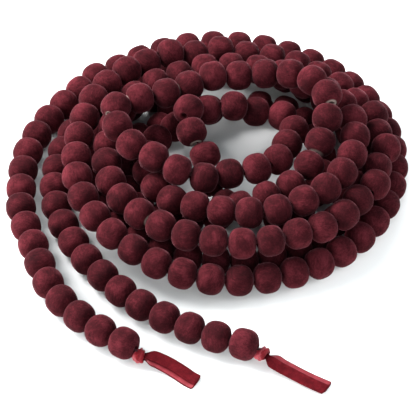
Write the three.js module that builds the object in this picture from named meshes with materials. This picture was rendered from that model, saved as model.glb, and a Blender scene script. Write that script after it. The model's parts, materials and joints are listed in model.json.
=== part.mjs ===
// A garland of velvet-flocked beads on one string, with a hanging loop of velvet ribbon knotted on at
// each end. It lies coiled on a table, with both ends drawn out to the front. Millimetres, +Z up.
import * as THREE from 'three';

// Beads, and how far apart they sit on the string.
const beadDiameter = 16;
const beadPitch = 14.35;
const beadCount = 222;
// Each solid is a run of this many neighbouring beads, joined where they touch at the string.
const beadsPerRun = 4;
const runCount = Math.ceil(beadCount / beadsPerRun);
// A bead on the table stands on a small flat spot, so its centre is a little less than its radius up.
const floorHeight = beadDiameter / 2 - 0.25;
// Beads that cross lie this far apart, centre to centre.
const contactDistance = beadDiameter + 0.1;
// How sharply the string can bend: next but one beads are never nearer than this.
const bendDistance = 23.5;

// A bead's solid has eight sides and a ring of corners at its middle, at each shoulder and at each hole,
// all of them a little inside the round bead.
const beadSides = 8;
const middleRadius = 7.9;
const shoulderRadius = 7.25;
const shoulderDistance = 3.1;
const neckRadius = 3.3;
const gap = 0.3;
// A corner as near the table as this is brought down onto it, which makes the flat spot.
const flatDepth = 1.15;

// Each hanging loop is one ribbon folded in two: a lower and an upper layer, with a round fold at the
// far end.
const ribbonWidth = 6.8;
const ribbonThickness = 1;
const ribbonLayerGap = 0.6;
const loopHeight = 2 * ribbonThickness + ribbonLayerGap;
// Beside the knot the loop is pinched to this share of its width and held up by this much.
const pinchedShare = 0.6;
const pinchedRise = 4.6;
const pinchLength = 9;
const straightSteps = 14;
const foldSteps = 8;
const knotLength = 5.5;
const knotWidth = 6;
const knotHeight = 5.2;
const knotDrop = 1.6;
const knotSides = 10;
const knotRings = 6;

const beadColour = '#6b2230';
const ribbonColour = '#aa1f33';

// The way of the string, from end A to end B, as lengths of it. Each column holds the bearing in degrees
// (anticlockwise from +X about the coil's centre), and the radius and height of the bead centres there.
// `bead` is how many beads lie before the first bearing of the length.
const eighths = [180, 135, 90, 45, 0, 315, 270, 225];
const low = floorHeight;
const lengths = [
  {
    lies: 'end A, out on the table',
    bead: 0,
    bearing: [252, 234, 216, 198],
    radius: [137, 125, 110, 102.5],
    height: [low, low, low, low],
  },
  {
    lies: 'outermost turn, on the table',
    bead: 10.5,
    bearing: eighths,
    radius: [97.5, 91, 98.5, 100, 97.5, 95.5, 88.5, 79.5],
    height: [low, low, low, low, low, low, 11, 20],
  },
  {
    lies: 'second turn, back half, on top of the outer ones',
    bead: 50.85,
    bearing: [180, 135, 90, 45, 0],
    radius: [68, 67.5, 70.5, 77, 90.5],
    height: [25.5, 28, 25.5, 23.5, 22],
  },
  {
    lies: 'second turn, front half',
    bead: 74,
    bearing: [302, 270, 225],
    radius: [83.5, 74.8, 62.3],
    height: [25, 24, 24.5],
  },
  {
    lies: 'third turn, back half',
    bead: 84.25,
    bearing: [180, 135, 90, 45],
    radius: [52, 53, 55.5, 65],
    height: [24.5, 24, 26.5, 28],
  },
  {
    lies: 'third turn, right and front, high up',
    bead: 97.5,
    bearing: [0, 315, 270, 225],
    radius: [75, 73.5, 56, 41.5],
    height: [33, 32, 27.5, 21],
  },
  {
    lies: 'down on the inner left and on the table under the inner ring',
    bead: 110.5,
    bearing: [180, 150, 120, 92, 60, 36, 0, 315, 280],
    radius: [31, 28, 29.5, 38.5, 54, 61.8, 60, 57, 32],
    height: [19, 17.5, 15.5, 12, low, low, low, low, low],
  },
  {
    lies: 'up through the middle',
    bead: 128,
    bearing: [259, 200, 135],
    radius: [14, 8, 15.5],
    height: [26, 32.5, 37],
  },
  {
    lies: 'inner ring, round the open middle',
    bead: 131,
    bearing: [94, 56, 42, 27, 8, 349, 315, 286, 255, 222, 188],
    radius: [16, 22, 32, 42.5, 44.5, 41, 39, 32.5, 37, 39, 47],
    height: [31, 32, 26, 24.5, 25.5, 27.5, 30, 29, 32, 35.5, 39],
  },
  {
    lies: 'top ring',
    bead: 145,
    bearing: [171, 140, 111, 87, 60, 39, 12, 347],
    radius: [48, 30, 29.3, 34.3, 43, 53, 62, 59.5],
    height: [40, 39.5, 38.5, 39, 37.5, 42, 46, 37],
  },
  {
    lies: 'down and under the third turn',
    bead: 158,
    bearing: [320, 291, 257, 224],
    radius: [56, 48, 45.5, 51],
    height: [25.5, 17.5, 9.5, low],
  },
  {
    lies: 'on the table under the left, where it turns back',
    bead: 165,
    bearing: [208, 180, 155, 130, 118, 114, 120],
    radius: [48.5, 44.5, 43.5, 43.5, 47, 54, 60],
    height: [low, low, low, low, 10, 12, 10],
  },
  {
    lies: 'on the table, the other way round, on the left',
    bead: 173.3,
    bearing: [150, 180, 210],
    radius: [60.5, 62.5, 65.5],
    height: [low, low, low],
  },
  {
    lies: 'on the table, the other way round, from front to back',
    bead: 181,
    bearing: [251, 270, 315, 0, 45, 90, 135],
    radius: [73, 75.5, 79, 79, 81, 81, 75.5],
    height: [low, low, low, low, low, low, low],
  },
  {
    lies: 'end B, out on the table',
    bead: 208,
    bearing: [174, 204, 222, 238, 252, 266, 277],
    radius: [78.5, 86, 92, 100, 110, 121.5, 132.5],
    height: [low, low, low, low, low, low, low],
  },
];

// Settling: how often, and how strongly each pass draws a bead back to its way and down.
const settlePasses = 1500;
const finishPasses = 300;
const returnPull = 0.02;
const gravityStep = 0.02;
const correctionShare = 0.45;
const curveSteps = 24;

const radians = THREE.MathUtils.degToRad;

// The bearings run on from one to the next past 0 and 360.
function stationsOf(rows) {
  const stations = [];
  let bearing = rows[0].bearing[0];
  for (const row of rows) {
    row.bearing.forEach((next, column) => {
      const turn = ((((next - bearing + 180) % 360) + 360) % 360) - 180;
      bearing += turn;
      stations.push({
        polar: new THREE.Vector3(bearing, row.radius[column], row.height[column]),
        bead: column === 0 ? row.bead : null,
      });
    });
  }
  stations[stations.length - 1].bead = beadCount - 1;
  return stations;
}

function fromPolar(polar) {
  const angle = radians(polar.x);
  return new THREE.Vector3(Math.cos(angle) * polar.y, Math.sin(angle) * polar.y, polar.z);
}

function catmullRom(a, b, c, d, t) {
  const along = (p, q, r, s) =>
    0.5 * (2 * q + (r - p) * t + (2 * p - 5 * q + 4 * r - s) * t * t + (3 * q - p - 3 * r + s) * t * t * t);
  return new THREE.Vector3(along(a.x, b.x, c.x, d.x), along(a.y, b.y, c.y, d.y), along(a.z, b.z, c.z, d.z));
}

// Points close together along the way of the string, each with its bead number: bead numbers are known
// where a length starts, and go up evenly with distance in between.
function wayOf(stations) {
  const points = [];
  const marks = [];
  const last = stations.length - 1;
  for (let s = 0; s < last; s += 1) {
    const near = [s - 1, s, s + 1, s + 2].map((k) => stations[THREE.MathUtils.clamp(k, 0, last)].polar);
    if (stations[s].bead !== null) marks.push({ point: points.length, bead: stations[s].bead });
    for (let step = 0; step < curveSteps; step += 1) {
      points.push(fromPolar(catmullRom(...near, step / curveSteps)));
    }
  }
  marks.push({ point: points.length, bead: stations[last].bead });
  points.push(fromPolar(stations[last].polar));
  const travelled = [0];
  for (let k = 1; k < points.length; k += 1) {
    travelled.push(travelled[k - 1] + points[k].distanceTo(points[k - 1]));
  }
  const numbers = [];
  for (let m = 0; m + 1 < marks.length; m += 1) {
    const from = marks[m];
    const to = marks[m + 1];
    const whole = travelled[to.point] - travelled[from.point];
    for (let k = from.point; k < to.point; k += 1) {
      numbers.push(from.bead + ((to.bead - from.bead) * (travelled[k] - travelled[from.point])) / whole);
    }
  }
  numbers.push(beadCount - 1);
  return { points, numbers };
}

function placeOnWay(way) {
  const places = [];
  let k = 0;
  for (let bead = 0; bead < beadCount; bead += 1) {
    while (k + 2 < way.numbers.length && way.numbers[k + 1] < bead) k += 1;
    const share = (bead - way.numbers[k]) / (way.numbers[k + 1] - way.numbers[k]);
    places.push(way.points[k].clone().lerp(way.points[k + 1], share));
  }
  return places;
}

// One pass: every bead moves by its share of what its neighbours on the string, the beads that it lies
// against and the table ask of it.
function settleOnce(beads) {
  const moves = beads.map(() => new THREE.Vector3());
  const between = new THREE.Vector3();
  const bringTo = (distance, a, b, share) => {
    between.subVectors(beads[b], beads[a]);
    between.setLength((between.length() - distance) * share);
    moves[a].add(between);
    moves[b].sub(between);
  };
  for (let a = 0; a < beadCount; a += 1) {
    if (a + 1 < beadCount) bringTo(beadPitch, a, a + 1, correctionShare);
    if (a + 2 < beadCount && beads[a].distanceTo(beads[a + 2]) < bendDistance) {
      bringTo(bendDistance, a, a + 2, correctionShare / 2);
    }
    for (let b = a + 3; b < beadCount; b += 1) {
      if (beads[a].distanceToSquared(beads[b]) < contactDistance ** 2) {
        bringTo(contactDistance, a, b, correctionShare);
      }
    }
  }
  beads.forEach((bead, number) => {
    bead.add(moves[number]);
    bead.z = Math.max(bead.z, floorHeight);
  });
}

function settle(places) {
  const beads = places.map((place) => place.clone());
  for (let pass = 0; pass < settlePasses; pass += 1) {
    beads.forEach((bead, number) => {
      bead.lerp(places[number], returnPull);
      bead.z -= gravityStep;
    });
    settleOnce(beads);
  }
  for (let pass = 0; pass < finishPasses; pass += 1) settleOnce(beads);
  return beads;
}

const beads = settle(placeOnWay(wayOf(stationsOf(lengths))));

function directionAt(number) {
  const before = beads[Math.max(number - 1, 0)];
  const after = beads[Math.min(number + 1, beadCount - 1)];
  return new THREE.Vector3().subVectors(after, before).normalize();
}

// The rings of a run of beads: where each is, which way the string goes through it, and its radius.
function ringsOf(first, last) {
  const rings = [];
  const add = (place, direction, radius) => rings.push({ place, direction, radius });
  // A run ends halfway to the next bead, less half the gap to the next run.
  const endNeck = (number, side) => {
    const beyond = number + side;
    const isEnd = beyond < 0 || beyond >= beadCount;
    const direction = isEnd
      ? directionAt(number)
      : new THREE.Vector3().subVectors(beads[beyond], beads[number]).normalize().multiplyScalar(side);
    const place = beads[number].clone().addScaledVector(direction, (side * (beadPitch - gap)) / 2);
    add(place, direction, side < 0 ? 0 : neckRadius);
    add(place, direction, side < 0 ? neckRadius : 0);
  };
  endNeck(first, -1);
  for (let number = first; number <= last; number += 1) {
    const direction = directionAt(number);
    const ringAt = (distance, radius) =>
      add(beads[number].clone().addScaledVector(direction, distance), direction, radius);
    ringAt(-shoulderDistance, shoulderRadius);
    ringAt(0, middleRadius);
    ringAt(shoulderDistance, shoulderRadius);
    if (number < last) {
      const halfway = beads[number].clone().lerp(beads[number + 1], 0.5);
      const across = new THREE.Vector3().subVectors(beads[number + 1], beads[number]).normalize();
      add(halfway, across, neckRadius);
    }
  }
  endNeck(last, 1);
  return rings;
}

// A lathe makes the run straight, and each of its rings is then moved to its place on the string.
function beadRunGeometry(first, last) {
  const rings = ringsOf(first, last);
  const profile = rings.map((ring, number) => new THREE.Vector2(ring.radius, number));
  const halfSide = Math.PI / beadSides;
  const geometry = new THREE.LatheGeometry(profile, beadSides, halfSide, Math.PI * 2);
  const corners = geometry.getAttribute('position');
  const upwards = new THREE.Vector3(0, 0, 1);
  for (let k = 0; k < corners.count; k += 1) {
    const ring = rings[k % rings.length];
    const side = new THREE.Vector3().crossVectors(ring.direction, upwards).normalize();
    const up = new THREE.Vector3().crossVectors(side, ring.direction);
    const corner = ring.place
      .clone()
      .addScaledVector(side, corners.getX(k))
      .addScaledVector(up, corners.getZ(k));
    if (corner.z < flatDepth) corner.z = 0;
    corners.setXYZ(k, corner.x, corner.y, corner.z);
  }
  geometry.computeVertexNormals();
  return geometry;
}

// The two ends of the garland. The ribbon loop beyond each knot goes through these places (x and y), and
// its upper layer has slid sideways on the lower one: to the right, seen from the knot.
const ends = [
  {
    end: 'a',
    bead: 0,
    before: 1,
    loopWay: [[-27.5, -139.2], [-17.5, -145], [-6.6, -152]],
    slid: -1.8,
  },
  {
    end: 'b',
    bead: beadCount - 1,
    before: beadCount - 2,
    loopWay: [[33, -138.5], [43.4, -145.2], [55.9, -153.3]],
    slid: 1.8,
  },
];

function outwardsAt(end) {
  const outwards = new THREE.Vector3().subVectors(beads[end.bead], beads[end.before]);
  outwards.z = 0;
  return outwards.normalize();
}

function knotPlace(end) {
  const place = beads[end.bead].clone().addScaledVector(outwardsAt(end), (beadPitch + gap + knotLength) / 2);
  place.z -= knotDrop;
  return place;
}

function knotMesh(end) {
  const ball = new THREE.SphereGeometry(0.5, knotSides, knotRings);
  const mesh = new THREE.Mesh(ball, ribbonVelvet);
  mesh.name = `ribbon_knot_${end.end}`;
  mesh.scale.set(knotLength, knotWidth, knotHeight);
  mesh.position.copy(knotPlace(end));
  const outwards = outwardsAt(end);
  mesh.rotation.z = Math.atan2(outwards.y, outwards.x);
  return mesh;
}

// The folded ribbon seen from its edge: along it from the knot, and up from the table.
function foldedOutline(length) {
  const outerRadius = loopHeight / 2;
  const innerRadius = ribbonLayerGap / 2;
  const straight = length - outerRadius;
  const outline = [];
  const alongAt = (height, forwards) => {
    for (let k = 0; k <= straightSteps; k += 1) {
      const share = forwards ? k / straightSteps : 1 - k / straightSteps;
      outline.push(new THREE.Vector2(straight * share, height));
    }
  };
  const foldAt = (radius, turn) => {
    for (let k = 1; k < foldSteps; k += 1) {
      const angle = turn * (k / foldSteps - 0.5) * Math.PI;
      outline.push(new THREE.Vector2(straight + radius * Math.cos(angle), outerRadius + radius * Math.sin(angle)));
    }
  };
  alongAt(0, true);
  foldAt(outerRadius, 1);
  alongAt(loopHeight, false);
  alongAt(loopHeight - ribbonThickness, true);
  foldAt(innerRadius, -1);
  alongAt(ribbonThickness, false);
  return new THREE.Shape(outline);
}

// The loop is extruded straight, and then laid along its way, pinched and lifted beside the knot.
function loopMesh(end) {
  const outwards = outwardsAt(end);
  const start = knotPlace(end).addScaledVector(outwards, knotLength / 2 + gap);
  start.z = 0;
  const way = new THREE.CatmullRomCurve3([start, ...end.loopWay.map(([x, y]) => new THREE.Vector3(x, y, 0))]);
  const length = way.getLength();
  const geometry = new THREE.ExtrudeGeometry(foldedOutline(length), { depth: ribbonWidth, bevelEnabled: false });
  const corners = geometry.getAttribute('position');
  const upwards = new THREE.Vector3(0, 0, 1);
  for (let k = 0; k < corners.count; k += 1) {
    const along = corners.getX(k);
    const up = corners.getY(k);
    const across = corners.getZ(k) - ribbonWidth / 2;
    const reached = Math.min(along / length, 1);
    const forwards = way.getTangentAt(reached);
    const right = new THREE.Vector3().crossVectors(forwards, upwards);
    const free = THREE.MathUtils.smoothstep(along, 0, pinchLength);
    const share = THREE.MathUtils.lerp(pinchedShare, 1, free);
    const sideways = across * share + (end.slid * free * up) / loopHeight;
    const corner = way.getPointAt(reached).addScaledVector(right, sideways);
    corners.setXYZ(k, corner.x, corner.y, up + pinchedRise * (1 - free));
  }
  geometry.computeVertexNormals();
  const mesh = new THREE.Mesh(geometry, ribbonVelvet);
  mesh.name = `ribbon_loop_${end.end}`;
  return mesh;
}

const beadVelvet = new THREE.MeshStandardMaterial({ color: beadColour, roughness: 0.95, metalness: 0 });
const ribbonVelvet = new THREE.MeshStandardMaterial({ color: ribbonColour, roughness: 0.7, metalness: 0 });

const garland = new THREE.Group();

for (let run = 0; run < runCount; run += 1) {
  const first = run * beadsPerRun;
  const last = Math.min(first + beadsPerRun, beadCount) - 1;
  const mesh = new THREE.Mesh(beadRunGeometry(first, last), beadVelvet);
  mesh.name = `beads_${String(run + 1).padStart(2, '0')}`;
  garland.add(mesh);
}

for (const end of ends) {
  garland.add(knotMesh(end), loopMesh(end));
}

// The part's origin is the middle of its footprint, on the table.
const bounds = new THREE.Box3().setFromObject(garland);
const middle = bounds.getCenter(new THREE.Vector3());
garland.position.set(-middle.x, -middle.y, -bounds.min.z);

export default garland;
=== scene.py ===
import json
import math

import bpy
import numpy as np
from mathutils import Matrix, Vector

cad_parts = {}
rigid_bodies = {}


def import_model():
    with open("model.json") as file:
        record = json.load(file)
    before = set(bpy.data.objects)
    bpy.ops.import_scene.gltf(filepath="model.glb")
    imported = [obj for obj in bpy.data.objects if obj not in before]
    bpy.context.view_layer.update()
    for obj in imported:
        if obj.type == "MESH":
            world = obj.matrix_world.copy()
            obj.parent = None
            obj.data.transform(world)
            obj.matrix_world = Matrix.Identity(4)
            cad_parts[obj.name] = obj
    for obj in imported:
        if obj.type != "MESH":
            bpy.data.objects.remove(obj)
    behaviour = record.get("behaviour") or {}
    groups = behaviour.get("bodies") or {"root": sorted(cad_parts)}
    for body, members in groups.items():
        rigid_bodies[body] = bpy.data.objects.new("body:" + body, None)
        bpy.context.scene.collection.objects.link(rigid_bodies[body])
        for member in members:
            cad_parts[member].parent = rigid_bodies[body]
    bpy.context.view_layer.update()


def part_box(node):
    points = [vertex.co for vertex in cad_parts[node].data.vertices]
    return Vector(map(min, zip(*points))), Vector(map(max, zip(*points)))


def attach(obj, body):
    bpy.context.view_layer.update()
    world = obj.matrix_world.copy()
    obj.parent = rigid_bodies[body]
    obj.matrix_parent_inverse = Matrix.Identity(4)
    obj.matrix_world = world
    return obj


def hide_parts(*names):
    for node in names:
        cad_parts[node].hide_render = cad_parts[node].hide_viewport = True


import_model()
scene = bpy.context.scene


# The garland is looked at from the front and above, through a long lens, about a metre away. The picture's
# width is in pixels, and so is the focal length, which goes with the distance. The elevation comes from how
# flat the round coil looks.
photo_width_px = 416
focal_length_px = 2169
camera_distance = 1.136
camera_elevation = math.radians(43.4)
looked_at = np.array([-0.0002, -0.0014, 0.0])
back_to_camera = np.array([0.0, -math.cos(camera_elevation), math.sin(camera_elevation)])

lens = bpy.data.cameras.new("camera")
lens.sensor_width = 36
lens.lens = lens.sensor_width * focal_length_px / photo_width_px
lens.clip_end = 20
camera = bpy.data.objects.new("camera", lens)
camera.location = looked_at + back_to_camera * camera_distance
camera.rotation_euler = (math.pi / 2 - camera_elevation, 0, 0)
scene.collection.objects.link(camera)
scene.camera = camera


# The string: one waxed cotton string through every bead, knotted into a ribbon at both ends. It has no
# shape of its own: the beads lie in a coil on the table, each as far on as the string allows, and the
# string goes where they go. It shows only where it bends and two beads part.
mm = 0.001
bead_radius = 8 * mm
bead_pitch = 14.35 * mm
bead_count = 222
floor_height = 7.75 * mm
contact_distance = 16.1 * mm
bend_distance = 23.5 * mm
string_diameter = 1.2 * mm
string_sides = 8
string_steps = 4

# The way of the string from end A to end B, as lengths of it. The columns are the bearing in degrees
# (anticlockwise from +X about the coil's centre), and the radius and height of the beads there, in mm.
# bead is how many beads lie before the first bearing of the length.
eighths = [180, 135, 90, 45, 0, 315, 270, 225]
low = 7.75
lengths = [
    dict(
        lies="end A, out on the table",
        bead=0,
        bearing=[252, 234, 216, 198],
        radius=[137, 125, 110, 102.5],
        height=[low, low, low, low],
    ),
    dict(
        lies="outermost turn, on the table",
        bead=10.5,
        bearing=eighths,
        radius=[97.5, 91, 98.5, 100, 97.5, 95.5, 88.5, 79.5],
        height=[low, low, low, low, low, low, 11, 20],
    ),
    dict(
        lies="second turn, back half, on top of the outer ones",
        bead=50.85,
        bearing=[180, 135, 90, 45, 0],
        radius=[68, 67.5, 70.5, 77, 90.5],
        height=[25.5, 28, 25.5, 23.5, 22],
    ),
    dict(
        lies="second turn, front half",
        bead=74,
        bearing=[302, 270, 225],
        radius=[83.5, 74.8, 62.3],
        height=[25, 24, 24.5],
    ),
    dict(
        lies="third turn, back half",
        bead=84.25,
        bearing=[180, 135, 90, 45],
        radius=[52, 53, 55.5, 65],
        height=[24.5, 24, 26.5, 28],
    ),
    dict(
        lies="third turn, right and front, high up",
        bead=97.5,
        bearing=[0, 315, 270, 225],
        radius=[75, 73.5, 56, 41.5],
        height=[33, 32, 27.5, 21],
    ),
    dict(
        lies="down on the inner left and on the table under the inner ring",
        bead=110.5,
        bearing=[180, 150, 120, 92, 60, 36, 0, 315, 280],
        radius=[31, 28, 29.5, 38.5, 54, 61.8, 60, 57, 32],
        height=[19, 17.5, 15.5, 12, low, low, low, low, low],
    ),
    dict(
        lies="up through the middle",
        bead=128,
        bearing=[259, 200, 135],
        radius=[14, 8, 15.5],
        height=[26, 32.5, 37],
    ),
    dict(
        lies="inner ring, round the open middle",
        bead=131,
        bearing=[94, 56, 42, 27, 8, 349, 315, 286, 255, 222, 188],
        radius=[16, 22, 32, 42.5, 44.5, 41, 39, 32.5, 37, 39, 47],
        height=[31, 32, 26, 24.5, 25.5, 27.5, 30, 29, 32, 35.5, 39],
    ),
    dict(
        lies="top ring",
        bead=145,
        bearing=[171, 140, 111, 87, 60, 39, 12, 347],
        radius=[48, 30, 29.3, 34.3, 43, 53, 62, 59.5],
        height=[40, 39.5, 38.5, 39, 37.5, 42, 46, 37],
    ),
    dict(
        lies="down and under the third turn",
        bead=158,
        bearing=[320, 291, 257, 224],
        radius=[56, 48, 45.5, 51],
        height=[25.5, 17.5, 9.5, low],
    ),
    dict(
        lies="on the table under the left, where it turns back",
        bead=165,
        bearing=[208, 180, 155, 130, 118, 114, 120],
        radius=[48.5, 44.5, 43.5, 43.5, 47, 54, 60],
        height=[low, low, low, low, 10, 12, 10],
    ),
    dict(
        lies="on the table, the other way round, on the left",
        bead=173.3,
        bearing=[150, 180, 210],
        radius=[60.5, 62.5, 65.5],
        height=[low, low, low],
    ),
    dict(
        lies="on the table, the other way round, from front to back",
        bead=181,
        bearing=[251, 270, 315, 0, 45, 90, 135],
        radius=[73, 75.5, 79, 79, 81, 81, 75.5],
        height=[low, low, low, low, low, low, low],
    ),
    dict(
        lies="end B, out on the table",
        bead=208,
        bearing=[174, 204, 222, 238, 252, 266, 277],
        radius=[78.5, 86, 92, 100, 110, 121.5, 132.5],
        height=[low, low, low, low, low, low, low],
    ),
]


def curve_through(points, steps):
    """A smooth curve through the points, with that many steps from each to the next."""
    padded_points = np.concatenate([points[:1], points, points[-1:]])
    a, b, c, d = (padded_points[k : len(points) - 1 + k, None] for k in range(4))
    t = (np.arange(steps) / steps)[None, :, None]
    curve = 0.5 * (2 * b + (c - a) * t + (2 * a - 5 * b + 4 * c - d) * t**2 + (3 * b - a - 3 * c + d) * t**3)
    return np.concatenate([curve.reshape(-1, points.shape[1]), points[-1:]])


def way_of_the_string():
    """Points close together along the way, about the coil's centre, and how many beads lie before each."""
    curve_steps = 24
    stations, marks = [], []
    bearing = lengths[0]["bearing"][0]
    for row in lengths:
        marks.append((len(stations) * curve_steps, row["bead"]))
        for column, next_bearing in enumerate(row["bearing"]):
            bearing += (next_bearing - bearing + 180) % 360 - 180
            stations.append([bearing, row["radius"][column] * mm, row["height"][column] * mm])
    marks.append(((len(stations) - 1) * curve_steps, bead_count - 1))
    polar = curve_through(np.array(stations), curve_steps)
    angle = np.radians(polar[:, 0])
    points = np.stack([np.cos(angle) * polar[:, 1], np.sin(angle) * polar[:, 1], polar[:, 2]], axis=1)
    travelled = np.concatenate([[0], np.cumsum(np.linalg.norm(np.diff(points, axis=0), axis=1))])
    mark_at, mark_bead = np.array(marks).T
    return points, np.interp(travelled, travelled[mark_at.astype(int)], mark_bead)


def places_on(points, numbers):
    """Where each bead would lie if it were threaded on the way as it is."""
    beads = np.arange(bead_count)
    return np.stack([np.interp(beads, numbers, points[:, k]) for k in range(3)], axis=1)


def settle(places):
    """Lays the beads down: a pitch apart on the string, beside and on each other, and on the table."""
    settle_passes = 1500
    finish_passes = 300
    return_pull = 0.02
    gravity_step = 0.02 * mm
    share = 0.45
    beads = places.copy()
    apart = np.subtract.outer(np.arange(bead_count), np.arange(bead_count))
    neighbours, next_but_one, others = (np.triu(test) for test in (apart == -1, apart == -2, apart < -2))
    for number in range(settle_passes + finish_passes):
        if number < settle_passes:
            beads += (places - beads) * return_pull
            beads[:, 2] -= gravity_step
        between = beads[None] - beads[:, None]
        distance = np.linalg.norm(between, axis=2)
        np.fill_diagonal(distance, 1)
        excess = share * neighbours * (distance - bead_pitch)
        excess += share / 2 * next_but_one * np.minimum(distance - bend_distance, 0)
        excess += share * others * np.minimum(distance - contact_distance, 0)
        pull = between * (excess / distance)[:, :, None]
        beads += pull.sum(1) - pull.sum(0)
        beads[:, 2] = np.maximum(beads[:, 2], floor_height)
    return beads


def unit(vectors):
    return vectors / np.linalg.norm(vectors, axis=-1, keepdims=True)


def level(vector):
    return unit(vector * [1, 1, 0])


# The knots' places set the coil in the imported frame: each is beyond its end bead, a little lower.
packed_knot_length = 5.8 * mm
knot_distance = (bead_pitch + packed_knot_length) / 2
knot_drop = 1.6 * mm


def knot_place(beads, end, before):
    return beads[end] + level(beads[end] - beads[before]) * knot_distance - np.array([0, 0, knot_drop])


beads = settle(places_on(*way_of_the_string()))
knot_low, knot_high = (np.array(corner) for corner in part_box("ribbon_knot_a"))
coil_centre = (knot_low + knot_high) / 2 - knot_place(beads, 0, 1)
beads += coil_centre


def make_mesh(name, points, faces, smooth=True):
    """A mesh object from arrays of points and of faces with a like number of corners."""
    faces = np.asarray(faces)
    mesh = bpy.data.meshes.new(name)
    mesh.vertices.add(len(points))
    mesh.vertices.foreach_set("co", np.asarray(points, np.float32).ravel())
    mesh.loops.add(faces.size)
    mesh.loops.foreach_set("vertex_index", faces.ravel().astype(np.int32))
    mesh.polygons.add(len(faces))
    mesh.polygons.foreach_set("loop_start", np.arange(len(faces), dtype=np.int32) * faces.shape[1])
    mesh.polygons.foreach_set("use_smooth", np.full(len(faces), smooth))
    mesh.update(calc_edges=True)
    thing = bpy.data.objects.new(name, mesh)
    scene.collection.objects.link(thing)
    return thing


def grid_faces(rows, columns, closed_rows=False):
    """The faces of rows of points, one row after another, each row closed round."""
    row_numbers = np.arange(rows if closed_rows else rows - 1)[:, None]
    column_numbers = np.arange(columns)[None]
    here, beyond = row_numbers * columns, (row_numbers + 1) % rows * columns
    beside = (column_numbers + 1) % columns
    corners = [here + column_numbers, beyond + column_numbers, beyond + beside, here + beside]
    return np.stack(corners, axis=-1).reshape(-1, 4)


def add_node(nodes, kind, label, inputs=None, settings=None):
    """One node of a material, with its settings, and its inputs as values or as links from other nodes."""
    node = nodes.new(kind)
    node.label = label
    for key, value in (settings or {}).items():
        setattr(node, key, value)
    for key, value in (inputs or {}).items():
        if isinstance(value, bpy.types.NodeSocket):
            node.id_data.links.new(value, node.inputs[key])
        else:
            node.inputs[key].default_value = value
    return node


def new_material(name):
    """An empty material: its nodes, and its shader, already joined to the output."""
    material = bpy.data.materials.new(name)
    material.use_nodes = True
    nodes = material.node_tree.nodes
    nodes.clear()
    shader = nodes.new("ShaderNodeBsdfPrincipled")
    output = nodes.new("ShaderNodeOutputMaterial")
    material.node_tree.links.new(shader.outputs["BSDF"], output.inputs["Surface"])
    return material, nodes, shader


def colour(red, green, blue):
    """A shader's colour from the red, green and blue that a picture shows, 0 to 255."""
    shown = np.array([red, green, blue]) / 255
    linear = np.where(shown <= 0.04045, shown / 12.92, ((shown + 0.055) / 1.055) ** 2.4)
    return (*linear.tolist(), 1.0)


def string_line():
    """The string's middle, from one knot through every bead to the other knot."""
    ends = [knot_place(beads, 0, 1), knot_place(beads, -1, -2)]
    return curve_through(np.concatenate([ends[:1], beads, ends[1:]]), string_steps)


def tube(name, line, diameter, sides):
    """A round tube along a line, with closed ends."""
    forwards = unit(np.gradient(line, axis=0))
    across = unit(np.cross(forwards, [0, 0, 1]))
    up = np.cross(across, forwards)
    angle = np.arange(sides) * 2 * math.pi / sides
    ring = across[:, None] * np.cos(angle)[None, :, None] + up[:, None] * np.sin(angle)[None, :, None]
    points = (line[:, None] + ring * diameter / 2).reshape(-1, 3)
    ends = line[[0, -1]]
    first_cap = [[len(points), k, (k + 1) % sides] for k in range(sides)]
    last = len(points) - sides
    last_cap = [[len(points) + 1, last + (k + 1) % sides, last + k] for k in range(sides)]
    walls = grid_faces(len(line), sides)
    split_walls = np.concatenate([walls[:, [0, 1, 2]], walls[:, [0, 2, 3]]])
    return make_mesh(name, np.concatenate([points, ends]), np.concatenate([split_walls, first_cap, last_cap]))


string_points = string_line()
string = tube("string", string_points, string_diameter, string_sides)

waxed_cotton, nodes, shader = new_material("waxed_cotton")
place = add_node(nodes, "ShaderNodeTexCoord", "where on the string")
ply = add_node(
    nodes,
    "ShaderNodeTexWave",
    "twist of the string",
    {"Vector": place.outputs["Object"], "Scale": 900, "Distortion": 1.5},
    {"bands_direction": "DIAGONAL"},
)
# The wave's darker bands are painted shade in the grooves between the plies; the string itself is a smooth
# tube.
ply_colours_and_groove_shade = add_node(nodes, "ShaderNodeValToRGB", "plies, with painted shade between them", {"Fac": ply.outputs["Fac"]})
ply_colours_and_groove_shade.color_ramp.elements[0].color = colour(48, 14, 22)
ply_colours_and_groove_shade.color_ramp.elements[1].color = colour(104, 34, 46)
shader.inputs["Roughness"].default_value = 0.6
waxed_cotton.node_tree.links.new(ply_colours_and_groove_shade.outputs["Color"], shader.inputs["Base Color"])
string.data.materials.append(waxed_cotton)
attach(string, "root")


# The beads: turned wooden beads of 16 mm, a little shorter along the hole and squarer than a ball, flocked
# with wine-red velvet. The wood shows pale where a few ends have worn, round the hole. Those on the table
# stand on a small flat spot. One mesh holds a run of four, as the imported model's do.
beads_per_run = 4
bead_sides = 40
bead_squareness = 2.5
half_length = 7.15 * mm
hole_radius = 1.5 * mm
hole_straight_to = 5.8 * mm
hole_flares_from = 6.7 * mm
rim_radius = 2.7 * mm
shoulder_steps = 13
nap_depth = 0.22 * mm
nap_waves = 14
nap_waves_per_metre = (250, 1500)
nap_contrast = 1.6
worn_edge = 0.6 * mm
lightest_tone = 0.12
# How far apart neighbouring beads lie in the pattern of the pile, in bead radii, so that no two look alike.
pile_apart = 3
# A direction that the string never takes, from which each bead's sides are laid out.
leaning_up = [0.3, 0.1, 1]
draw = np.random.default_rng(16)
# The ends where the wood shows, by the bead's number on the string from end A. side is -1 for the end that
# faces end A and 1 for the other. reach is how far from the hole's middle the velvet is worn off, in mm.
worn_ends = [
    dict(bead=80, side=-1, reach=3.2),
    dict(bead=129, side=-1, reach=3.4),
    dict(bead=145, side=-1, reach=2.5),
    dict(bead=146, side=-1, reach=3.4),
    dict(bead=148, side=-1, reach=3.2),
    dict(bead=154, side=1, reach=3.4),
    dict(bead=156, side=1, reach=3.8),
]


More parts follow.
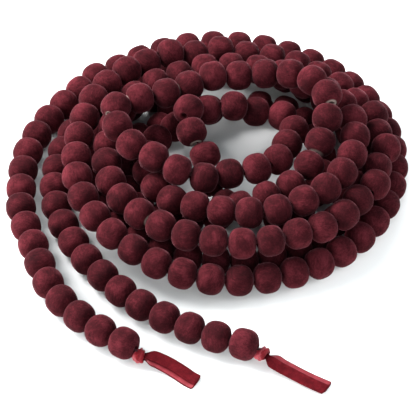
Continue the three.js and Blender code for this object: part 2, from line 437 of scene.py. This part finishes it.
def bead_profile():
    """Half of a cut through a bead, as places along the hole and radii, all the way round it."""
    hole = [(0, hole_radius), (hole_straight_to, hole_radius), (hole_flares_from, hole_radius + 0.1 * mm)]
    hole += [(half_length - 0.1 * mm, hole_radius + 0.4 * mm), (half_length, hole_radius + 0.8 * mm)]
    power = 2 / bead_squareness
    rim_turn = math.asin((rim_radius / bead_radius) ** (1 / power))
    turn = np.linspace(rim_turn, math.pi / 2, shoulder_steps)
    along = half_length * np.maximum(np.cos(turn), 0) ** power
    half = hole + list(zip(along, bead_radius * np.sin(turn) ** power))
    other_half = [(-along, radius) for along, radius in half[-2:0:-1]]
    return np.array(half + other_half)


def nap_unevenness(points):
    """How far the pile is pressed in at points of a bead, from 0 to 1: soft waves in all directions."""
    waves = unit(draw.normal(size=(nap_waves, 3))) * draw.uniform(*nap_waves_per_metre, (nap_waves, 1))
    phases = draw.uniform(0, 2 * math.pi, nap_waves)
    strengths = 1 / np.sqrt(np.linalg.norm(waves, axis=1))
    height = (np.sin(points @ waves.T + phases) * strengths).sum(1) / strengths.sum()
    return np.clip(0.5 + height * nap_contrast, 0, 1)


def directions_of(beads):
    """The way that the string goes through each bead."""
    before = np.concatenate([beads[:1], beads[:-1]])
    after = np.concatenate([beads[1:], beads[-1:]])
    return unit(after - before)


profile = bead_profile()
angle = np.arange(bead_sides) * 2 * math.pi / bead_sides
along, radius = profile.T
bead_points = np.stack(
    [
        np.repeat(along, bead_sides),
        (radius[:, None] * np.cos(angle)).ravel(),
        (radius[:, None] * np.sin(angle)).ravel(),
    ],
    axis=1,
)
bead_faces = grid_faces(len(profile), bead_sides, closed_rows=True)
from_hole = np.linalg.norm(bead_points[:, 1:], axis=1)
is_outside = from_hole > rim_radius
bead_directions = directions_of(beads)
tone_of_beads = draw.uniform(0, lightest_tone, bead_count)


def bareness(number):
    """How bare of velvet each point of a bead is: only round the hole, and only at a worn end."""
    bare = np.zeros(len(bead_points))
    for end in worn_ends:
        if end["bead"] == number:
            is_this_end = bead_points[:, 0] * end["side"] > half_length / 2
            bare += is_this_end * np.clip((end["reach"] * mm - from_hole) / worn_edge, 0, 1)
    return bare


def one_bead(number):
    """A bead's points in place, how bare each is, how light the bead is, and where each is in the pile."""
    forwards = bead_directions[number]
    across = unit(np.cross(forwards, leaning_up))
    roll = draw.uniform(0, 2 * math.pi)
    side = across * math.cos(roll) + np.cross(forwards, across) * math.sin(roll)
    turned = np.stack([forwards, side, np.cross(forwards, side)])
    pressed = nap_unevenness(bead_points) * nap_depth * is_outside
    local = bead_points - bead_points / bead_radius * pressed[:, None]
    placed = beads[number] + local @ turned
    placed[:, 2] = np.maximum(placed[:, 2], 0)
    brushed_way, _ = np.linalg.qr(draw.normal(size=(3, 3)))
    in_the_pile = bead_points @ brushed_way + [0, 0, number * pile_apart * bead_radius]
    return placed, bareness(number), np.full(len(placed), tone_of_beads[number]), in_the_pile


def bead_velvet_material():
    """Wine-red flock: short upright pile, brushed lighter and darker in patches and streaks."""
    material, nodes, shader = new_material("bead_velvet")
    link = material.node_tree.links.new
    tone = add_node(nodes, "ShaderNodeAttribute", "tone of this bead", settings={"attribute_name": "tone"})
    bare = add_node(nodes, "ShaderNodeAttribute", "bare wood", settings={"attribute_name": "bare"})
    pile = add_node(nodes, "ShaderNodeAttribute", "where in the pile", settings={"attribute_name": "pile"})
    place = pile.outputs["Vector"]
    patches = add_node(
        nodes,
        "ShaderNodeTexNoise",
        "brushed patches",
        {"Vector": place, "Scale": 140, "Detail": 2, "Roughness": 0.5},
    )
    stretched = add_node(
        nodes,
        "ShaderNodeVectorMath",
        "stretched along the brushing",
        {0: place, 1: (0.4, 1, 1)},
        {"operation": "MULTIPLY"},
    )
    streaks = add_node(
        nodes,
        "ShaderNodeTexNoise",
        "brushed streaks",
        {"Vector": stretched.outputs["Vector"], "Scale": 1100, "Detail": 3, "Roughness": 0.6},
    )
    fibres = add_node(
        nodes,
        "ShaderNodeTexNoise",
        "single fibres",
        {"Vector": place, "Scale": 3600, "Detail": 2, "Roughness": 0.6},
    )
    patch_and_tone = add_node(
        nodes,
        "ShaderNodeMath",
        "patches and the bead's own tone",
        {0: patches.outputs["Fac"], 1: 0.6, 2: tone.outputs["Fac"]},
        {"operation": "MULTIPLY_ADD"},
    )
    with_streaks = add_node(
        nodes,
        "ShaderNodeMath",
        "and the streaks",
        {0: streaks.outputs["Fac"], 1: 0.45, 2: patch_and_tone.outputs["Value"]},
        {"operation": "MULTIPLY_ADD"},
    )
    with_fibres = add_node(
        nodes,
        "ShaderNodeMath",
        "and the fibres",
        {0: fibres.outputs["Fac"], 1: 0.6, 2: with_streaks.outputs["Value"]},
        {"operation": "MULTIPLY_ADD"},
    )
    spread = add_node(
        nodes,
        "ShaderNodeMapRange",
        "from darkest to lightest",
        {"Value": with_fibres.outputs["Value"], "From Min": 0.67, "From Max": 1.09},
    )
    wine = add_node(nodes, "ShaderNodeValToRGB", "wine reds", {"Fac": spread.outputs["Result"]})
    ramp = wine.color_ramp
    ramp.elements[0].color = (0.022, 0.0038, 0.0052, 1)
    ramp.elements[1].color = (0.13, 0.0185, 0.026, 1)
    ramp.elements.new(0.5).color = (0.056, 0.0076, 0.0108, 1)
    wood = add_node(
        nodes,
        "ShaderNodeMix",
        "pale wood at a worn rim",
        {"Factor": bare.outputs["Fac"], "A": wine.outputs["Color"], "B": colour(180, 160, 150)},
        {"data_type": "RGBA"},
    )
    link(wood.outputs["Result"], shader.inputs["Base Color"])
    lean = add_node(
        nodes,
        "ShaderNodeBump",
        "pile brushed over in patches",
        {"Height": patches.outputs["Fac"], "Strength": 1.0, "Distance": 0.5 * mm},
    )
    relief = add_node(
        nodes,
        "ShaderNodeMath",
        "height of the pile",
        {0: fibres.outputs["Fac"], 1: 0.5, 2: streaks.outputs["Fac"]},
        {"operation": "MULTIPLY_ADD"},
    )
    bump = add_node(
        nodes,
        "ShaderNodeBump",
        "pile",
        {
            "Height": relief.outputs["Value"],
            "Strength": 0.7,
            "Distance": 0.3 * mm,
            "Normal": lean.outputs["Normal"],
        },
    )
    link(bump.outputs["Normal"], shader.inputs["Normal"])
    shader.inputs["Roughness"].default_value = 0.95
    shader.inputs["Specular IOR Level"].default_value = 0.06
    shader.inputs["Sheen Weight"].default_value = 0.26
    shader.inputs["Sheen Roughness"].default_value = 0.28
    shader.inputs["Sheen Tint"].default_value = colour(255, 168, 180)
    return material


bead_velvet = bead_velvet_material()
for run, first in enumerate(range(0, bead_count, beads_per_run), start=1):
    made = [one_bead(number) for number in range(first, min(first + beads_per_run, bead_count))]
    points, bare, tone, in_the_pile = (np.concatenate(column) for column in zip(*made))
    faces = np.concatenate([bead_faces + len(bead_points) * k for k in range(len(made))])
    run_of_beads = make_mesh(f"velvet_beads_{run:02d}", points, faces)
    for attribute, values in (("bare", bare), ("tone", tone)):
        run_of_beads.data.attributes.new(attribute, "FLOAT", "POINT")
        run_of_beads.data.attributes[attribute].data.foreach_set("value", values.astype(np.float32))
    run_of_beads.data.attributes.new("pile", "FLOAT_VECTOR", "POINT")
    run_of_beads.data.attributes["pile"].data.foreach_set("vector", in_the_pile.ravel().astype(np.float32))
    run_of_beads.data.materials.append(bead_velvet)
    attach(run_of_beads, "root")
    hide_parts(f"beads_{run:02d}")


# The knots: at each end the hanging ribbon is tied round the string in a tight knot, tucked against the
# last bead with its foot on the table. The ribbon is velvet on one face and satin on the other, and both
# show in the knot's folds. There both are painted lighter than in the loops: painted light and shine.
ribbon_width = 6.8 * mm
ribbon_thickness = 0.7 * mm
ribbon_columns = 15
ribbon_edge_power = 6
ribbon_edge_least = 0.04
pile_from = 0.86
pleat_turns = 2.5
knot_tuck = 9.3 * mm
knot_sag = 3.3 * mm
knot_across = 8.8 * mm
knot_height = 6.6 * mm
knot_steps = 72
knot_half_width = 2.7 * mm
knot_pleat_depth = 0.3 * mm
knot_pleat_change = 0.3
knot_bulge = 1.3 * mm
# How far the pleats wander across the wound ribbon, slowly and quickly, and where the slow way starts.
slow_wander, quick_wander, wander_start = 1.1, 0.5, 0.6
# skew is how far the wound ribbon runs askew, and wider how much wider it is at its front than its back.
# turned is how much of its outer face shows satin, a painted highlight band: the middling share, and how
# far that share rises and falls.
knots = [
    dict(end="a", bead=0, before=1, skew=0.7 * mm, wider=0.6 * mm, turned=(0.5, 0.3)),
    dict(end="b", bead=-1, before=-2, skew=-0.8 * mm, wider=0.1 * mm, turned=(0.66, 0.1)),
]


def tied_place(knot):
    """Where the knot's middle is, and the way out from the bead to it, level."""
    outwards = level(beads[knot["bead"]] - beads[knot["before"]])
    return beads[knot["bead"]] + outwards * knot_tuck - np.array([0, 0, knot_sag]), outwards


def ribbon(name, middle, across, outside, half_width, pleat_depth, bulge=0, pleats_wander=None, turned=None):
    """Ribbon along a line, in soft pleats: pile on its outer face and edges, satin inside. Where turned, a
    share for each step, is given, the line is closed and that share of the outer face takes the satin too,
    a painted highlight band."""
    half_across = np.linspace(-1, 1, ribbon_columns)
    edge = np.sqrt(np.clip(1 - np.abs(half_across) ** ribbon_edge_power, ribbon_edge_least, 1))
    edge = edge * ribbon_thickness / 2
    section_across = np.concatenate([half_across, half_across[::-1]])
    section_out = np.concatenate([edge, -edge[::-1]]) - bulge * section_across**2
    wander = np.zeros(len(middle)) if pleats_wander is None else pleats_wander
    pleats = np.cos(section_across * pleat_turns * math.pi + wander[:, None])
    out = section_out + pleat_depth[:, None] * pleats
    points = middle[:, None] + across[:, None] * (section_across * half_width[:, None])[:, :, None]
    points = points + outside[:, None] * out[:, :, None]
    points[:, :, 2] = np.maximum(points[:, :, 2], 0)
    columns = 2 * ribbon_columns
    faces = grid_faces(len(middle), columns, closed_rows=turned is not None)
    is_inner = np.arange(columns) >= ribbon_columns
    is_middle = np.abs(section_across) < pile_from
    satin_inside = is_inner & is_middle & np.roll(is_middle, -1)
    if turned is None:
        ladder = np.array([[k, columns - 1 - k, columns - 2 - k, k + 1] for k in range(ribbon_columns - 1)])
        last = (len(middle) - 1) * columns
        is_satin = np.concatenate([np.tile(satin_inside, len(middle) - 1), np.zeros(2 * len(ladder), bool)])
        faces = np.concatenate([faces, ladder[:, ::-1], last + ladder])
    else:
        # Satin on the outer face here is a painted highlight band; the ribbon is not turned over.
        outer_satin_highlight_band = ~is_inner & is_middle & (section_across < (2 * turned - 1)[:, None])
        is_satin = (outer_satin_highlight_band | satin_inside).ravel()
    strip = make_mesh(name, points.reshape(-1, 3), faces)
    strip.data.polygons.foreach_set("material_index", is_satin.astype(np.int32))
    return strip


def ribbon_material(name, colours, roughness, gloss, pile_height):
    """One face of the ribbon: its darkest, middle and lightest colour, its roughness, gloss and pile."""
    material, nodes, shader = new_material(name)
    link = material.node_tree.links.new
    place = add_node(nodes, "ShaderNodeTexCoord", "where on the ribbon").outputs["Object"]
    brushed = add_node(
        nodes,
        "ShaderNodeTexNoise",
        "brushed and pressed places",
        {"Vector": place, "Scale": 320, "Detail": 3, "Roughness": 0.6},
    )
    fibres = add_node(
        nodes,
        "ShaderNodeTexNoise",
        "fibres",
        {"Vector": place, "Scale": 2600, "Detail": 2, "Roughness": 0.6},
    )
    mixed = add_node(
        nodes,
        "ShaderNodeMath",
        "places and fibres",
        {0: fibres.outputs["Fac"], 1: 0.7, 2: brushed.outputs["Fac"]},
        {"operation": "MULTIPLY_ADD"},
    )
    spread = add_node(
        nodes,
        "ShaderNodeMapRange",
        "from darkest to lightest",
        {"Value": mixed.outputs["Value"], "From Min": 0.6, "From Max": 1.1},
    )
    reds = add_node(nodes, "ShaderNodeValToRGB", "crimsons", {"Fac": spread.outputs["Result"]})
    ramp = reds.color_ramp
    ramp.elements[0].color = colours[0]
    ramp.elements[1].color = colours[2]
    ramp.elements.new(0.5).color = colours[1]
    link(reds.outputs["Color"], shader.inputs["Base Color"])
    bump = add_node(
        nodes,
        "ShaderNodeBump",
        "pile and weave",
        {"Height": fibres.outputs["Fac"], "Strength": 0.5, "Distance": pile_height},
    )
    link(bump.outputs["Normal"], shader.inputs["Normal"])
    shader.inputs["Roughness"].default_value = roughness
    shader.inputs["Specular IOR Level"].default_value = gloss
    return material


pile_reds = [(0.06, 0.0024, 0.0048, 1), (0.1, 0.004, 0.0076, 1), (0.15, 0.0078, 0.0134, 1)]
satin_reds = [(0.2, 0.018, 0.026, 1), (0.28, 0.03, 0.041, 1), (0.38, 0.048, 0.062, 1)]
ribbon_pile = ribbon_material("ribbon_pile", pile_reds, 0.9, 0.08, 0.3 * mm)
pile_shader = ribbon_pile.node_tree.nodes["Principled BSDF"]
pile_shader.inputs["Sheen Weight"].default_value = 0.2
pile_shader.inputs["Sheen Roughness"].default_value = 0.3
pile_shader.inputs["Sheen Tint"].default_value = colour(255, 150, 165)
ribbon_satin = ribbon_material("ribbon_satin", satin_reds, 0.38, 0.3, 0.06 * mm)
# The knot's pile and satin are the ribbon's, painted about twice as light. This is painted light and shine on
# a knot that lies in the end bead's shade.
knot_pile_reds_painted_lighter = [(0.16, 0.005, 0.01, 1), (0.26, 0.01, 0.018, 1), (0.4, 0.022, 0.033, 1)]
knot_satin_reds_painted_lighter = [(0.25, 0.014, 0.024, 1), (0.42, 0.034, 0.05, 1), (0.62, 0.085, 0.11, 1)]
knot_pile_painted_lighter = ribbon_material("knot_pile_painted_lighter", knot_pile_reds_painted_lighter, 0.6, 0.2, 0.2 * mm)
knot_satin_painted_lighter = ribbon_material("knot_satin_painted_lighter", knot_satin_reds_painted_lighter, 0.3, 0.5, 0.15 * mm)


def knot_of_ribbon(knot):
    """Gathered ribbon wound once round the string's end, bulging, its pleats running round with it."""
    turn = np.arange(knot_steps) * 2 * math.pi / knot_steps
    middle_place, outwards = tied_place(knot)
    sideways = np.cross([0, 0, 1], outwards)
    to_front = -np.sign(sideways[1]) * np.cos(turn)
    half_across = knot_across / 2 - ribbon_thickness / 2 - knot_pleat_depth
    half_height = knot_height / 2 - ribbon_thickness / 2 - knot_pleat_depth
    strand = np.outer(np.cos(turn) * half_across, sideways) + np.outer(np.sin(turn) * half_height, [0, 0, 1])
    forwards = unit(np.roll(strand, -1, axis=0) - np.roll(strand, 1, axis=0))
    across = np.tile(outwards, (knot_steps, 1))
    outside = np.cross(forwards, across)
    half_width = knot_half_width + knot["wider"] * to_front
    pleat_depth = knot_pleat_depth * (1 + knot_pleat_change * np.sin(3 * turn))
    # The share of satin on the knot's outside rises and falls round it: a painted highlight band.
    highlight_band_middle, highlight_band_change = knot["turned"]
    turned = highlight_band_middle + highlight_band_change * np.sin(2 * turn + 1)
    wander = slow_wander * np.sin(turn + wander_start) + quick_wander * np.sin(3 * turn)
    middle = middle_place + strand + np.outer(knot["skew"] * to_front, outwards)
    name = f"ribbon_knotted_{knot['end']}"
    return ribbon(name, middle, across, outside, half_width, pleat_depth, knot_bulge, wander, turned)


for knot in knots:
    tied = knot_of_ribbon(knot)
    tied.data.materials.append(knot_pile_painted_lighter)
    tied.data.materials.append(knot_satin_painted_lighter)
    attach(tied, "root")
    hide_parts(f"ribbon_knot_{knot['end']}")


# The hanging loops: the same ribbon, folded in two with the pile outside, lying nearly flat on the table.
# The upper layer has slid sideways, so a strip of the lower one's satin shows. Both layers come gathered
# out of the knot, a little off the table.
layer_spacing = 1.05 * mm
gather_length = 6.2 * mm
gathered_share = 0.32
gather_pleat_depth = 0.4 * mm
corner_radius = 1.1 * mm
starts_in_knot = 0.5
bow_height = 0.3 * mm
ribbon_steps = 64
way_steps = 16
fold_steps = 9
# Each loop's middle from the knot to the fold, in mm: x and y about the coil's centre, and rise, how far it
# stands off the table. slid is how far the upper layer lies to the right of the lower, seen from the knot.
loops = [
    dict(
        knot=knots[0],
        slid=-2.5,
        x=[-31.5, -27.8, -23.9, -19.6, -14.1, -9.3, -5.8],
        y=[-136.6, -137.3, -138.6, -140.8, -144.6, -148.5, -150.7],
        rise=[3.2, 2.9, 2, 1.1, 0.4, 0, 0],
    ),
    dict(
        knot=knots[1],
        slid=3.2,
        x=[28.2, 31, 34.3, 38.6, 43.4, 49.3, 57.1],
        y=[-136.2, -138.1, -140.5, -143, -146, -149.8, -154.4],
        rise=[2.6, 2.1, 1.4, 0.6, 0.1, 0, 0],
    ),
]


def smooth_step(value, low_edge, high_edge):
    share = np.clip((value - low_edge) / (high_edge - low_edge), 0, 1)
    return share * share * (3 - 2 * share)


def loop_line(loop):
    """The ribbon's middle out along the lower layer, round the fold and back, and its way across."""
    middle_place, outwards = tied_place(loop["knot"])
    start = middle_place + outwards * knot_half_width * starts_in_knot
    places = np.stack([loop["x"], loop["y"], loop["rise"]], axis=1) * mm + [*coil_centre[:2], 0]
    way = curve_through(np.concatenate([[[*start[:2], start[2] - layer_spacing]], places]), way_steps)
    travelled = np.concatenate([[0], np.cumsum(np.linalg.norm(np.diff(way, axis=0), axis=1))])
    fold_radius = layer_spacing / 2
    straight = travelled[-1] - fold_radius - ribbon_thickness / 2
    half_turn = np.linspace(-math.pi / 2, math.pi / 2, fold_steps)[1:-1]
    out = np.linspace(0, straight, ribbon_steps)
    along = np.concatenate([out, straight + fold_radius * np.cos(half_turn), out[::-1]])
    turned = np.concatenate([np.zeros(len(out)), (half_turn + math.pi / 2) / math.pi, np.ones(len(out))])
    height = ribbon_thickness / 2 + fold_radius + np.concatenate(
        [np.full(len(out), -fold_radius), fold_radius * np.sin(half_turn), np.full(len(out), fold_radius)]
    )
    free = smooth_step(along, 0, gather_length)
    middle = np.stack([np.interp(along, travelled, way[:, k]) for k in range(3)], axis=1)
    forwards = unit(np.gradient(way, axis=0) * [1, 1, 0])
    forwards = unit(np.stack([np.interp(along, travelled, forwards[:, k]) for k in range(3)], axis=1))
    right = np.cross(forwards, [0, 0, 1])
    middle += right * (loop["slid"] * mm * (turned - 0.5) * free)[:, None]
    bow = bow_height * np.sin(np.clip(along / straight, 0, 1) * math.pi) ** 2 * turned
    middle[:, 2] += height + bow
    return middle, right, free


for loop in loops:
    middle, right, free = loop_line(loop)
    outside = unit(np.cross(unit(np.gradient(middle, axis=0)), right))
    from_fold = np.linalg.norm(middle - middle[len(middle) // 2], axis=1)
    rounding = np.sqrt(1 - (1 - np.clip(from_fold / corner_radius, 0, 1)) ** 2)
    spread_share = gathered_share + (1 - gathered_share) * free
    half_width = ribbon_width / 2 * spread_share - corner_radius * (1 - rounding)
    pleat_depth = gather_pleat_depth * (1 - free)
    strip = ribbon(f"hanging_ribbon_{loop['knot']['end']}", middle, right, outside, half_width, pleat_depth)
    strip.data.materials.append(ribbon_pile)
    strip.data.materials.append(ribbon_satin)
    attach(strip, "root")
    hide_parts(f"ribbon_loop_{loop['knot']['end']}")


# The table under the garland is plain and pale. Soft light falls on both from a wide window at the back on
# the left, and a little comes from everywhere. Low lamps round the table light only the table, so that it
# is white outside the coil and stays dim between the beads; a fill lamp lights only the garland.
table_reach = 15
table_corners = [[x * table_reach, y * table_reach, 0] for x, y in ((-1, -1), (1, -1), (1, 1), (-1, 1))]
floor = make_mesh("floor", table_corners, [[0, 1, 2, 3]], smooth=False)
white_table, _, shader = new_material("white_table")
shader.inputs["Base Color"].default_value = (0.55, 0.55, 0.55, 1)
shader.inputs["Roughness"].default_value = 0.7
shader.inputs["Specular IOR Level"].default_value = 0.2
floor.data.materials.append(white_table)


def soft_lamp(name, place, size, power):
    """A square soft lamp that points at the middle of the garland."""
    lamp = bpy.data.lights.new(name, "AREA")
    lamp.size = size
    lamp.energy = power
    holder = bpy.data.objects.new(name, lamp)
    holder.location = place
    down = np.array(place) - looked_at
    holder.rotation_euler = (math.atan2(math.hypot(*down[:2]), down[2]), 0, math.atan2(down[0], -down[1]))
    holder.visible_camera = False
    scene.collection.objects.link(holder)
    return holder


soft_lamp("window", (-1.06, 0.62, 1.14), 0.8, 64)
garland_only = bpy.data.collections.new("garland_only")
for piece in scene.objects:
    if piece.type == "MESH" and piece is not floor:
        garland_only.objects.link(piece)
soft_lamp("fill", (-1.3, -0.8, 0.5), 1, 14).light_linking.receiver_collection = garland_only
table_only = bpy.data.collections.new("table_only")
table_only.objects.link(floor)
low_lamp_distance = 1.6
low_lamp_height = 0.6
for side, x, y in (("right", 1, 0), ("left", -1, 0), ("front", 0, -1), ("back", 0, 1)):
    place = (x * low_lamp_distance, y * low_lamp_distance, low_lamp_height)
    low_lamp = soft_lamp(f"table_light_{side}", place, 1.2, 52)
    low_lamp.light_linking.receiver_collection = table_only
scene.world = bpy.data.worlds.new("room")
scene.world.use_nodes = True
room_light = scene.world.node_tree.nodes["Background"]
room_light.inputs["Color"].default_value = (0.86, 1, 1.05, 1)
room_light.inputs["Strength"].default_value = 0.68
scene.view_settings.view_transform = "Standard"
